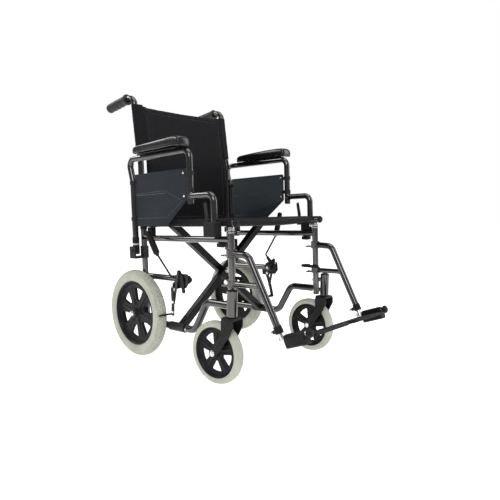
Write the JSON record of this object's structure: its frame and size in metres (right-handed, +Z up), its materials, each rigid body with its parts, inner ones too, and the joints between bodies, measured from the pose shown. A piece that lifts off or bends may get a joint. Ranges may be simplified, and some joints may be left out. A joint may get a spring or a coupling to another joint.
{
  "type": "folding transit wheelchair",
  "caption": "Folding attendant wheelchair with sling seat and back, cross brace, small rear wheels, swivel casters, flip-back armrests, wheel brakes and swing-away footrests.",
  "frame": {"origin": "on the floor under the middle of the chair's overall box", "axes": "+Z up, -Y is the front (footplates), +X is the occupant's left; the chassis stands 3.05 degrees nose up"},
  "size_m": [0.5732, 0.9874, 0.9579],
  "materials": {
    "frame_steel": "glossy dark pewter lacquer on steel tube",
    "black_steel": "satin black paint",
    "bright_steel": "bright zinc or chrome plate",
    "black_plastic": "moulded black nylon, faint grain",
    "panel_plastic": "dark blue-grey moulded plastic, matte",
    "grip_rubber": "soft black rubber",
    "pad_vinyl": "glossy black self-skinned foam",
    "sling_nylon": "black woven nylon",
    "grey_rubber": "light grey-green solid rubber, fine tread"
  },
  "bodies": {
    "right_frame": {"side_frame_right": "frame_steel", "back_cane_right": "frame_steel", "push_grip_right": "grip_rubber", "rear_axle_right": "bright_steel", "armrest_hinge_right": "black_steel", "armrest_socket_right": "black_plastic", "brake_bracket_right": "black_steel", "backrest_upholstery": "sling_nylon"},
    "left_frame": {"side_frame_left": "frame_steel", "back_cane_left": "frame_steel", "push_grip_left": "grip_rubber", "rear_axle_left": "bright_steel", "armrest_hinge_left": "black_steel", "armrest_socket_left": "black_plastic", "brake_bracket_left": "black_steel"},
    "brace_a": {"cross_brace_a": "black_steel", "seat_rail_left": "frame_steel", "rail_end_cap_left": "black_plastic", "brace_pivot_bolt": "bright_steel", "seat_upholstery": "sling_nylon"},
    "brace_b": {"cross_brace_b": "black_steel", "seat_rail_right": "frame_steel", "rail_end_cap_right": "black_plastic"},
    "rear_wheel_right": {"rear_tyre_right": "grey_rubber", "rear_rim_right": "black_plastic"},
    "caster_right": {"caster_fork_right": "black_steel", "caster_axle_right": "bright_steel"},
    "caster_wheel_right": {"caster_tyre_right": "grey_rubber", "caster_rim_right": "black_plastic"},
    "armrest_right": {"armrest_frame_right": "frame_steel", "armrest_pad_right": "pad_vinyl", "side_panel_right": "panel_plastic"},
    "armrest_latch_right": {"armrest_latch_right": "black_plastic"},
    "brake_lever_right": {"brake_lever_right": "black_steel"},
    "brake_arm_right": {"brake_arm_right": "black_steel"},
    "brake_link_right": {"brake_link_right": "black_steel"},
    "hanger_right": {"footrest_hanger_right": "frame_steel", "footplate_tube_right": "bright_steel", "footplate_cap_right": "black_plastic"},
    "hanger_latch_right": {"footrest_latch_right": "black_plastic"},
    "footplate_right": {"footplate_right": "black_plastic"},
    "rear_wheel_left": {"rear_tyre_left": "grey_rubber", "rear_rim_left": "black_plastic"},
    "caster_left": {"caster_fork_left": "black_steel", "caster_axle_left": "bright_steel"},
    "caster_wheel_left": {"caster_tyre_left": "grey_rubber", "caster_rim_left": "black_plastic"},
    "armrest_left": {"armrest_frame_left": "frame_steel", "armrest_pad_left": "pad_vinyl", "side_panel_left": "panel_plastic"},
    "armrest_latch_left": {"armrest_latch_left": "black_plastic"},
    "brake_lever_left": {"brake_lever_left": "black_steel"},
    "brake_arm_left": {"brake_arm_left": "black_steel"},
    "brake_link_left": {"brake_link_left": "black_steel"},
    "hanger_left": {"footrest_hanger_left": "frame_steel", "footplate_tube_left": "bright_steel", "footplate_cap_left": "black_plastic"},
    "hanger_latch_left": {"footrest_latch_left": "black_plastic"},
    "footplate_left": {"footplate_left": "black_plastic"}
  },
  "joints": [
    {"name": "fold", "type": "hinge", "parent": "right_frame", "child": "brace_a", "pos_m": [-0.2185, 0.07299, 0.13155], "axis": [0, -0.9986, 0.0532], "range_deg": [0, 33], "deforming": ["seat_upholstery", "backrest_upholstery"]},
    {"name": "brace_b_pivot", "type": "hinge", "parent": "brace_a", "child": "brace_b", "pos_m": [0, 0.08253, 0.3106], "axis": [0, -0.9986, 0.0532], "range_deg": [-66, 0]},
    {"name": "left_frame_pivot", "type": "hinge", "parent": "brace_b", "child": "left_frame", "pos_m": [0.2185, 0.07299, 0.13155], "axis": [0, -0.9986, 0.0532], "range_deg": [0, 33]},
    {"name": "rear_wheel_right_spin", "type": "hinge", "parent": "right_frame", "child": "rear_wheel_right", "pos_m": [-0.256, 0.26264, 0.1575], "axis": [1, 0, 0], "continuous": true},
    {"name": "caster_right_swivel", "type": "hinge", "parent": "right_frame", "child": "caster_right", "pos_m": [-0.243, -0.2152, 0.22202], "axis": [0, 0, 1], "continuous": true},
    {"name": "caster_wheel_right_spin", "type": "hinge", "parent": "caster_right", "child": "caster_wheel_right", "pos_m": [-0.24718, -0.15535, 0.1], "axis": [0.9976, 0.0698, 0], "continuous": true},
    {"name": "armrest_right_flip", "type": "hinge", "parent": "right_frame", "child": "armrest_right", "pos_m": [-0.2465, 0.28176, 0.38481], "axis": [-1, 0, 0], "range_deg": [0, 90]},
    {"name": "armrest_latch_right_press", "type": "hinge", "parent": "right_frame", "child": "armrest_latch_right", "pos_m": [-0.2375, -0.09607, 0.49206], "axis": [-1, 0, 0], "range_deg": [0, 20], "stiffness_Nm_per_rad": 0.15, "springref_deg": -17.19},
    {"name": "brake_right_lever", "type": "hinge", "parent": "right_frame", "child": "brake_lever_right", "pos_m": [-0.245, 0.03537, 0.30881], "axis": [1, 0, 0], "range_deg": [0, 48]},
    {"name": "brake_right_arm", "type": "hinge", "parent": "right_frame", "child": "brake_arm_right", "pos_m": [-0.245, 0.07587, 0.27961], "axis": [1, 0, 0], "range_deg": [-17.5, 0]},
    {"name": "brake_right_link", "type": "hinge", "parent": "brake_arm_right", "child": "brake_link_right", "pos_m": [-0.245, 0.07084, 0.2228], "axis": [1, 0, 0], "range_deg": [0, 17.83]},
    {"name": "hanger_right_swing", "type": "hinge", "parent": "right_frame", "child": "hanger_right", "pos_m": [-0.2185, -0.19102, 0.31686], "axis": [0, -0.0532, -0.9986], "range_deg": [0, 90]},
    {"name": "hanger_latch_right_press", "type": "hinge", "parent": "hanger_right", "child": "hanger_latch_right", "pos_m": [-0.1968, -0.21217, 0.33351], "axis": [0, -0.0532, -0.9986], "range_deg": [0, 15], "stiffness_Nm_per_rad": 0.15, "springref_deg": -17.19},
    {"name": "footplate_right_flip", "type": "hinge", "parent": "hanger_right", "child": "footplate_right", "pos_m": [-0.2095, -0.37828, 0.17613], "axis": [0, -0.9301, 0.3673], "range_deg": [0, 99]},
    {"name": "rear_wheel_left_spin", "type": "hinge", "parent": "left_frame", "child": "rear_wheel_left", "pos_m": [0.256, 0.26264, 0.1575], "axis": [1, 0, 0], "continuous": true},
    {"name": "caster_left_swivel", "type": "hinge", "parent": "left_frame", "child": "caster_left", "pos_m": [0.243, -0.2152, 0.22202], "axis": [0, 0, 1], "continuous": true},
    {"name": "caster_wheel_left_spin", "type": "hinge", "parent": "caster_left", "child": "caster_wheel_left", "pos_m": [0.243, -0.1552, 0.1], "axis": [1, 0, 0], "continuous": true},
    {"name": "armrest_left_flip", "type": "hinge", "parent": "left_frame", "child": "armrest_left", "pos_m": [0.2465, 0.28176, 0.38481], "axis": [-1, 0, 0], "range_deg": [0, 90]},
    {"name": "armrest_latch_left_press", "type": "hinge", "parent": "left_frame", "child": "armrest_latch_left", "pos_m": [0.2375, -0.09607, 0.49206], "axis": [-1, 0, 0], "range_deg": [0, 20], "stiffness_Nm_per_rad": 0.15, "springref_deg": -17.19},
    {"name": "brake_left_lever", "type": "hinge", "parent": "left_frame", "child": "brake_lever_left", "pos_m": [0.245, 0.03537, 0.30881], "axis": [1, 0, 0], "range_deg": [-48, 0]},
    {"name": "brake_left_arm", "type": "hinge", "parent": "left_frame", "child": "brake_arm_left", "pos_m": [0.245, 0.07587, 0.27961], "axis": [1, 0, 0], "range_deg": [0, 17.5]},
    {"name": "brake_left_link", "type": "hinge", "parent": "brake_arm_left", "child": "brake_link_left", "pos_m": [0.245, 0.05399, 0.22694], "axis": [1, 0, 0], "range_deg": [-17.83, 0]},
    {"name": "hanger_left_swing", "type": "hinge", "parent": "left_frame", "child": "hanger_left", "pos_m": [0.2185, -0.19102, 0.31686], "axis": [0, 0.0532, 0.9986], "range_deg": [0, 90]},
    {"name": "hanger_latch_left_press", "type": "hinge", "parent": "hanger_left", "child": "hanger_latch_left", "pos_m": [0.1968, -0.21217, 0.33351], "axis": [0, 0.0532, 0.9986], "range_deg": [0, 15], "stiffness_Nm_per_rad": 0.15, "springref_deg": -17.19},
    {"name": "footplate_left_flip", "type": "hinge", "parent": "hanger_left", "child": "footplate_left", "pos_m": [0.2095, -0.37828, 0.17613], "axis": [0, 0.9301, -0.3673], "range_deg": [0, 99]}
  ],
  "couplings": [
    {"joint": "brace_b_pivot", "follows": "fold", "ratio": -2},
    {"joint": "left_frame_pivot", "follows": "fold", "ratio": 1},
    {"joint": "brake_right_arm", "follows": "brake_right_lever", "ratio": -0.36458},
    {"joint": "brake_right_link", "follows": "brake_right_lever", "ratio": 0.37146},
    {"joint": "footplate_right_flip", "follows": "fold", "ratio": 3},
    {"joint": "brake_left_arm", "follows": "brake_left_lever", "ratio": -0.36458},
    {"joint": "brake_left_link", "follows": "brake_left_lever", "ratio": 0.37146},
    {"joint": "footplate_left_flip", "follows": "fold", "ratio": 3}
  ]
}
